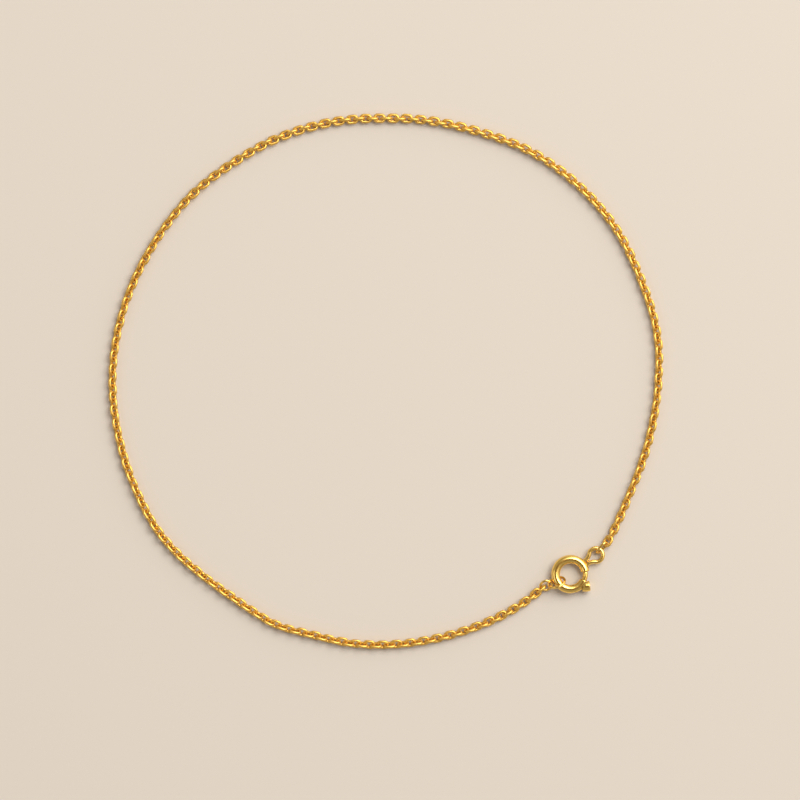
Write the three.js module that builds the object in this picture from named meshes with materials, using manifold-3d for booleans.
// A fine cable chain anklet, closed by a spring ring clasp and laid in a round loop.
// Millimetres, +Z up. The loop lies flat on z = 0, with the middle of its box at the origin.

import * as THREE from 'three';
import { mergeVertices } from 'three/addons/utils/BufferGeometryUtils.js';
import Module from 'manifold-3d';

const wasm = await Module();
wasm.setup();

const { degToRad } = THREE.MathUtils;

// The chain's links, each at a right angle to the next. At a link's end its neighbour's
// wire lies inside it, so the links are a little further apart than half their length.
const LINK = { length: 1.88, width: 1.4, wire: 0.43, bends: 14, sides: 6 };

// The chain as a whole is drawn as a tube as thick as the row of links. Its first and last
// link keep their own shape, because they hold the jump rings, and the tube starts inside
// them, just past their middle.
const CHAIN_THICKNESS = LINK.width;
const CHAIN_SIDES = 8;
const CHAIN_STEPS = 78;
const TUBE_START = 0.35;
const FIRST_LINK_TILT = -20;
const LAST_LINK_TILT = 103;

// Where the chain lies: its distance from the loop's middle at each angle. The loop is a
// circle that was laid by hand, flatter at the top and with a dent at the lower left.
const ROUTE = [
  { angle: -35.6, radius: 39.14 }, { angle: -34, radius: 39.06 }, { angle: -31, radius: 38.79 },
  { angle: -24, radius: 38.43 }, { angle: -12, radius: 38.6 }, { angle: 0, radius: 39.02 },
  { angle: 10, radius: 39.43 }, { angle: 22, radius: 39.32 }, { angle: 34, radius: 39.51 },
  { angle: 46, radius: 39.29 }, { angle: 58, radius: 38.81 }, { angle: 70, radius: 38.03 },
  { angle: 84, radius: 37.66 }, { angle: 90, radius: 37.55 }, { angle: 102, radius: 37.78 },
  { angle: 114, radius: 37.96 }, { angle: 124, radius: 38.0 }, { angle: 136, radius: 38.33 },
  { angle: 150, radius: 38.42 }, { angle: 164, radius: 38.71 }, { angle: 178, radius: 38.91 },
  { angle: 192, radius: 38.81 }, { angle: 204, radius: 38.78 }, { angle: 213, radius: 38.8 },
  { angle: 220, radius: 38.48 }, { angle: 227, radius: 38.0 }, { angle: 234, radius: 37.75 },
  { angle: 240, radius: 37.85 }, { angle: 246, radius: 38.05 }, { angle: 254, radius: 37.65 },
  { angle: 264, radius: 37.7 }, { angle: 274, radius: 37.55 }, { angle: 286, radius: 37.4 },
  { angle: 300, radius: 37.33 }, { angle: 306.9, radius: 37.07 },
];

// The clasp. Angles inside it are measured from its eye, anticlockwise seen from above.
const CLASP = { x: 26.47, y: -27.51, z: 0.97, heading: 36.8, lean: 2.9 };
const RING = { radius: 2.13, tube: 0.62, bore: 0.45, sides: 12, boreSides: 10, steps: 44 };
const MOUTH = { eyeSide: -27, knobSide: -61 };
const BOLT = { wire: 0.36, tip: -23, tail: -110, sides: 12, steps: 14 };
const BOLT_TRAVEL = 40;

// The knob stands on a flat neck, which slides in a slot along the ring's outer side.
const NECK = { middle: -75, halfAngle: 6, halfHeight: 0.2, reach: 2.85 };
const SLOT = { halfHeight: 0.28, spareAngle: 4 };
const KNOB = { at: -67.6, reach: 3.2, heading: -28, radius: 0.8, waist: 0.68, length: 1.15 };
const KNOB_CLEARANCE = 0.07;
const KNOB_INNER_REACH = 2.3;

// The eye is a wire that leaves the ring, goes round and comes back beside itself.
const EYE = { distance: 4.55, radius: 0.99, wire: 0.3, strandOffset: 0.33, root: 2.5, neck: 3.2 };
const EYE_LOOP = { start: 145, step: 29 };
const EYE_STEPS = 40;
const EYE_SIDES = 8;

// The loose rings. Heading and pitch turn a ring's own length, tilt rolls it about that.
const OVAL_RING = { length: 2.34, width: 1.58, wire: 0.34, bends: 18, sides: 6 };
const START_JUMP_RING = { x: 30.972, y: -23.715, z: 0.719, heading: 45.2, pitch: -0.3, tilt: 65.1 };
const JUMP_RING = { radius: 0.84, wire: 0.17, bends: 16, sides: 6 };
const END_JUMP_RING = { x: 22.997, y: -29.114, z: 0.928, heading: 197.9, pitch: 3.8, tilt: -37.7 };
const END_RING = { radius: 1.2, wire: 0.18, bends: 24, sides: 8 };
const END_RING_PLACE = { along: 2.3, at: 173.8, z: 1.19, turn: -23, pitch: 19.1, tilt: 55.8 };

const GOLD = 0xd8a544;
const PALE_GOLD = 0xe2b65a;

// A closed three.js geometry as a solid that can be cut and joined.
function toSolid(geometry) {
  const bare = geometry.clone();
  bare.deleteAttribute('normal');
  bare.deleteAttribute('uv');
  const merged = mergeVertices(bare, 1e-5);
  return new wasm.Manifold(new wasm.Mesh({
    numProp: 3,
    vertProperties: Float32Array.from(merged.attributes.position.array),
    triVerts: Uint32Array.from(merged.index.array),
  }));
}

function toGeometry(solid) {
  const mesh = solid.getMesh();
  const geometry = new THREE.BufferGeometry();
  geometry.setAttribute('position', new THREE.BufferAttribute(mesh.vertProperties, 3));
  geometry.setIndex(new THREE.BufferAttribute(mesh.triVerts, 1));
  geometry.computeVertexNormals();
  return geometry;
}

function goldMesh(name, geometry, color, roughness) {
  const material = new THREE.MeshStandardMaterial({ color, roughness, metalness: 1 });
  const mesh = new THREE.Mesh(geometry, material);
  mesh.name = name;
  return mesh;
}

// An arc of a circle about the middle of the clasp, in its own plane.
class ArcPath extends THREE.Curve {
  constructor(radius, startAngle, endAngle) {
    super();
    this.radius = radius;
    this.start = degToRad(startAngle);
    this.end = degToRad(endAngle);
  }

  getPoint(t, target = new THREE.Vector3()) {
    const angle = THREE.MathUtils.lerp(this.start, this.end, t);
    return target.set(this.radius * Math.cos(angle), this.radius * Math.sin(angle), 0);
  }
}

// The chain's centreline, as a smooth curve through the rows of the route.
class ChainPath extends THREE.Curve {
  constructor(rows, height) {
    super();
    this.rows = rows;
    this.height = height;
    this.arcLengthDivisions = 1500;
  }

  slopeAt(index) {
    const before = this.rows[Math.max(index - 1, 0)];
    const after = this.rows[Math.min(index + 1, this.rows.length - 1)];
    return (after.radius - before.radius) / (after.angle - before.angle);
  }

  radiusAt(angle) {
    const last = this.rows.length - 2;
    const found = this.rows.findIndex((row) => row.angle > angle) - 1;
    const i = found < 0 ? last : found;
    const [from, to] = [this.rows[i], this.rows[i + 1]];
    const span = to.angle - from.angle;
    const t = (angle - from.angle) / span;
    return from.radius * (1 + 2 * t) * (1 - t) ** 2
      + to.radius * (3 - 2 * t) * t ** 2
      + this.slopeAt(i) * span * t * (1 - t) ** 2
      - this.slopeAt(i + 1) * span * (1 - t) * t ** 2;
  }

  getPoint(t, target = new THREE.Vector3()) {
    const angle = THREE.MathUtils.lerp(this.rows[0].angle, this.rows.at(-1).angle, t);
    const radius = this.radiusAt(angle);
    const turn = degToRad(angle);
    return target.set(radius * Math.cos(turn), radius * Math.sin(turn), this.height);
  }
}

// The stretch of a path between two distances from its start.
class Stretch extends THREE.Curve {
  constructor(path, from, to) {
    super();
    this.path = path;
    this.from = from;
    this.to = to;
  }

  getPoint(t, target = new THREE.Vector3()) {
    const distance = THREE.MathUtils.lerp(this.from, this.to, t);
    return this.path.getPointAt(distance / this.path.getLength(), target);
  }
}

// A regular polygon whose flat sides are `apothem` from its middle.
function flatSidedOutline(apothem, sides) {
  const corner = apothem / Math.cos(Math.PI / sides);
  const points = [];
  for (let i = 0; i < sides; i += 1) {
    const angle = ((i + 0.5) * 2 * Math.PI) / sides;
    points.push(new THREE.Vector2(corner * Math.cos(angle), corner * Math.sin(angle)));
  }
  return new THREE.Shape(points);
}

function sweep(radius, sides, path, steps) {
  return new THREE.ExtrudeGeometry(flatSidedOutline(radius, sides), {
    steps,
    extrudePath: path,
    bevelEnabled: false,
  });
}

// A flat band between two radii and two angles, centred on the clasp's plane.
function flatBand(inner, outer, startAngle, endAngle, halfHeight) {
  const [start, end] = [degToRad(startAngle), degToRad(endAngle)];
  const outline = new THREE.Shape();
  outline.absarc(0, 0, outer, start, end, false);
  outline.absarc(0, 0, inner, end, start, true);
  const band = new THREE.ExtrudeGeometry(outline, {
    depth: 2 * halfHeight,
    curveSegments: 12,
    bevelEnabled: false,
  });
  return band.translate(0, 0, -halfHeight);
}

// An oval link is a round ring pulled apart along its length.
function linkGeometry({ length, width, wire, bends, sides }) {
  const radius = (width - wire) / 2;
  const pull = (length - width) / 2;
  const link = new THREE.TorusGeometry(radius, wire / 2, sides, bends);
  const position = link.attributes.position;
  for (let i = 0; i < position.count; i += 1) {
    position.setX(i, position.getX(i) + Math.sign(position.getX(i)) * pull);
  }
  return link;
}

function turned(geometry, { x, y, z, heading, pitch, tilt }) {
  const turn = new THREE.Euler(degToRad(tilt), degToRad(pitch), degToRad(heading), 'ZYX');
  geometry.applyQuaternion(new THREE.Quaternion().setFromEuler(turn));
  return geometry.translate(x, y, z);
}

function placed(mesh, { x, y, z, heading, pitch, tilt }) {
  mesh.rotation.set(degToRad(tilt), degToRad(pitch), degToRad(heading), 'ZYX');
  mesh.position.set(x, y, z);
  return mesh;
}

function chainGeometry() {
  const path = new ChainPath(ROUTE, CHAIN_THICKNESS / 2);
  const stretch = new Stretch(path, TUBE_START, path.getLength() - TUBE_START);
  const tube = toSolid(sweep(CHAIN_THICKNESS / 2, CHAIN_SIDES, stretch, CHAIN_STEPS));
  const ends = [[0, FIRST_LINK_TILT], [1, LAST_LINK_TILT]].map(([t, tilt]) => {
    const middle = path.getPointAt(t);
    const along = path.getTangentAt(t);
    const heading = THREE.MathUtils.radToDeg(Math.atan2(along.y, along.x));
    const place = { x: middle.x, y: middle.y, z: middle.z, heading, pitch: 0, tilt };
    return toSolid(turned(linkGeometry(LINK), place));
  });
  return toGeometry(tube.add(ends[0]).add(ends[1]));
}

// The eye's wire, from the ring round the eye and back to the ring.
function eyePath() {
  const { distance, radius, strandOffset, root, neck } = EYE;
  const { start, step } = EYE_LOOP;
  const points = [
    new THREE.Vector3(root, strandOffset, 0),
    new THREE.Vector3(neck, strandOffset, 0),
  ];
  for (let angle = start; angle >= -start; angle -= step) {
    const turn = degToRad(angle);
    const x = distance + radius * Math.cos(turn);
    points.push(new THREE.Vector3(x, radius * Math.sin(turn), 0));
  }
  points.push(new THREE.Vector3(neck, -strandOffset, 0));
  points.push(new THREE.Vector3(root, -strandOffset, 0));
  return new THREE.CatmullRomCurve3(points);
}

function claspRingGeometry() {
  const { radius, tube, bore, sides, boreSides, steps } = RING;
  const farMouth = MOUTH.knobSide + 360;
  const body = sweep(tube, sides, new ArcPath(radius, MOUTH.eyeSide, farMouth), steps);
  const eye = sweep(EYE.wire, EYE_SIDES, eyePath(), EYE_STEPS);
  const overrun = 3;
  const hollow = new ArcPath(radius, MOUTH.eyeSide - overrun, farMouth + overrun);
  const boreCut = sweep(bore, boreSides, hollow, steps);
  const slotEnd = NECK.middle - NECK.halfAngle - BOLT_TRAVEL - SLOT.spareAngle;
  const slotStart = MOUTH.knobSide + overrun;
  const slotCut = flatBand(radius, radius + 2 * tube, slotEnd, slotStart, SLOT.halfHeight);
  const joined = toSolid(body).add(toSolid(eye));
  return toGeometry(joined.subtract(toSolid(boreCut)).subtract(toSolid(slotCut)));
}

// The knob widens towards its outer end, which has a rounded rim.
function knobGeometry() {
  const { at, reach, heading, radius, waist, length } = KNOB;
  const rim = 0.16;
  const profile = [
    new THREE.Vector2(0, -length),
    new THREE.Vector2(waist, -length),
    new THREE.Vector2(waist + 0.03, -0.85 * length),
    new THREE.Vector2(radius, -0.55 * length),
    new THREE.Vector2(radius, -rim),
    new THREE.Vector2(radius - 0.3 * rim, -0.3 * rim),
    new THREE.Vector2(radius - rim, 0),
    new THREE.Vector2(0, 0),
  ];
  const knob = new THREE.LatheGeometry(profile, 20);
  knob.rotateZ(degToRad(heading - 90));
  const turn = degToRad(at);
  return knob.translate(reach * Math.cos(turn), reach * Math.sin(turn), 0);
}

function claspBoltGeometry() {
  const { radius, tube } = RING;
  const wirePath = new ArcPath(radius, BOLT.tail, BOLT.tip);
  const wire = toSolid(sweep(BOLT.wire, BOLT.sides, wirePath, BOLT.steps));
  const neckStart = NECK.middle - NECK.halfAngle;
  const neckEnd = NECK.middle + NECK.halfAngle;
  const neck = toSolid(flatBand(radius, NECK.reach, neckStart, neckEnd, NECK.halfHeight));

  // What the knob keeps clear of: the ring's tube, and all that lies inside its outer half.
  const keepOut = new THREE.TorusGeometry(radius, tube + KNOB_CLEARANCE, 24, 72);
  const inside = new THREE.CylinderGeometry(KNOB_INNER_REACH, KNOB_INNER_REACH, 3, 72);
  inside.rotateX(Math.PI / 2);
  const knob = toSolid(knobGeometry()).subtract(toSolid(keepOut)).subtract(toSolid(inside));
  return toGeometry(wire.add(neck).add(knob));
}

function ringGeometry({ radius, wire, bends, sides }) {
  return new THREE.TorusGeometry(radius, wire, sides, bends);
}

const anklet = new THREE.Group();

const chain = goldMesh('chain', chainGeometry(), GOLD, 0.25);
anklet.add(chain);

const clasp = new THREE.Group();
clasp.position.set(CLASP.x, CLASP.y, CLASP.z);
clasp.rotation.set(0, degToRad(CLASP.lean), degToRad(CLASP.heading), 'ZYX');
clasp.add(goldMesh('clasp_ring', claspRingGeometry(), PALE_GOLD, 0.15));
clasp.add(goldMesh('clasp_bolt', claspBoltGeometry(), PALE_GOLD, 0.18));
anklet.add(clasp);

const startRing = goldMesh('start_jump_ring', linkGeometry(OVAL_RING), GOLD, 0.2);
anklet.add(placed(startRing, START_JUMP_RING));
const jumpRing = goldMesh('end_jump_ring', ringGeometry(JUMP_RING), GOLD, 0.2);
anklet.add(placed(jumpRing, END_JUMP_RING));

// The end ring hooks round the clasp's tube on the side away from the eye.
const hookHeading = CLASP.heading + END_RING_PLACE.at;
const endRing = goldMesh('end_ring', ringGeometry(END_RING), GOLD, 0.2);
anklet.add(placed(endRing, {
  x: CLASP.x + END_RING_PLACE.along * Math.cos(degToRad(hookHeading)),
  y: CLASP.y + END_RING_PLACE.along * Math.sin(degToRad(hookHeading)),
  z: END_RING_PLACE.z,
  heading: hookHeading + END_RING_PLACE.turn,
  pitch: END_RING_PLACE.pitch,
  tilt: END_RING_PLACE.tilt,
}));

// The chain reaches furthest on every side, so its box centres the whole loop.
chain.geometry.computeBoundingBox();
const middle = chain.geometry.boundingBox.getCenter(new THREE.Vector3());
anklet.position.set(-middle.x, -middle.y, 0);

const group = new THREE.Group();
group.add(anklet);

export default group;
